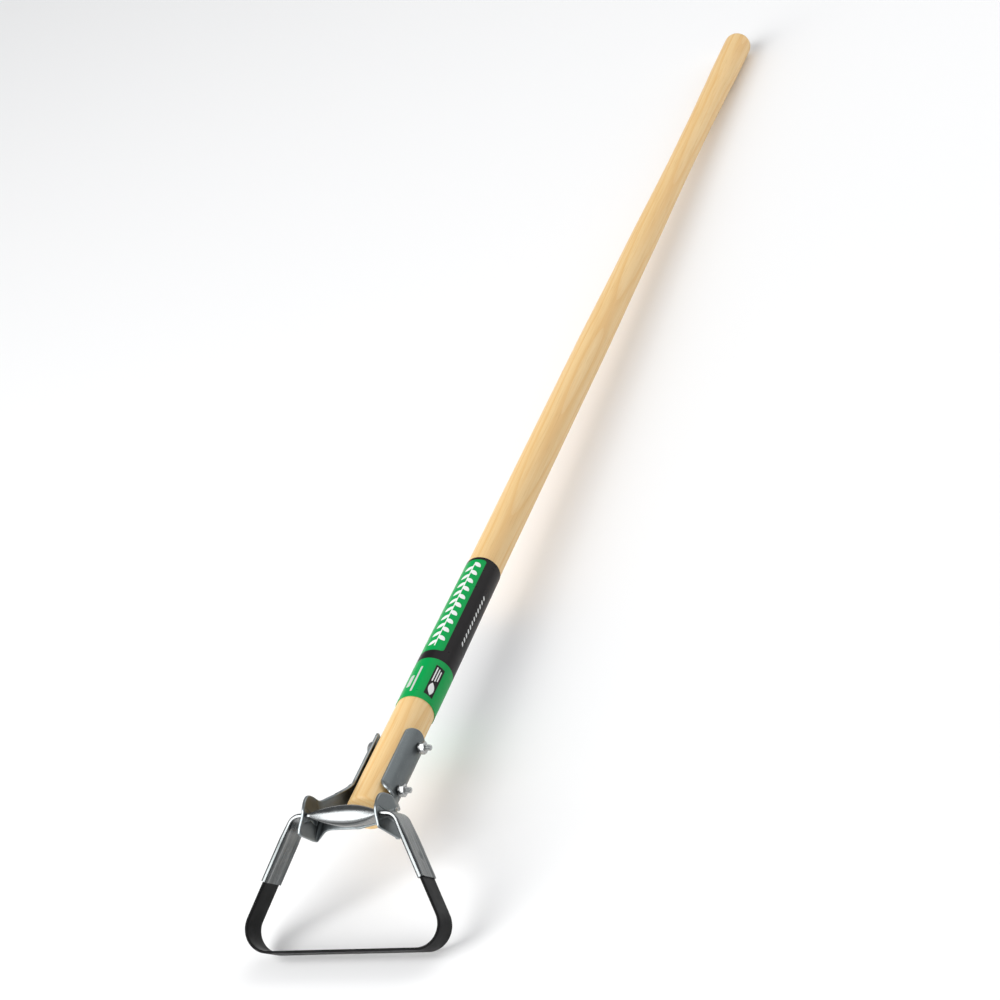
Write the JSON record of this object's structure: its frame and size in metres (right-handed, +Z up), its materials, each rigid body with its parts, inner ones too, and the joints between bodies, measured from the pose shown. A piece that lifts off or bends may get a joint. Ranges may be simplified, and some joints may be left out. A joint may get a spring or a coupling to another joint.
{
  "type": "stirrup hoe",
  "caption": "Long-handled garden hoe: a flat steel blade loop on a swinging hanger, held in a pressed yoke bolted to a tapered wooden handle, lying on the floor.",
  "frame": {"origin": "middle of the footprint on the floor, with the hoe lying on its blade's back edge and its grip", "axes": "+Y from the blade towards the grip, +Z up, X along the stirrup's pivot axis"},
  "size_m": [0.16, 1.4834, 0.1001],
  "materials": {
    "handle_wood": "pale ash, clear lacquer",
    "label_print": "green and black printed film",
    "zinc_sheet": "zinc plated pressed sheet",
    "bright_tube": "bright zinc plated tube",
    "black_paint": "satin black enamel",
    "fastener_zinc": "bright zinc plated hardware"
  },
  "bodies": {
    "handle_and_yoke": {"handle": "handle_wood", "label_film": "label_print", "left_bracket": "zinc_sheet", "right_bracket": "zinc_sheet", "lower_bolt": "fastener_zinc", "upper_bolt": "fastener_zinc", "lower_lock_washer": "fastener_zinc", "upper_lock_washer": "fastener_zinc", "lower_nut": "fastener_zinc", "upper_nut": "fastener_zinc"},
    "stirrup": {"hanger": "bright_tube", "blade": "black_paint"}
  },
  "joints": [
    {"name": "stirrup_swing", "type": "hinge", "parent": "handle_and_yoke", "child": "stirrup", "pos_m": [0, -0.6589, 0.08219], "axis": [1, 0, 0], "range_deg": [-12, 12]}
  ]
}
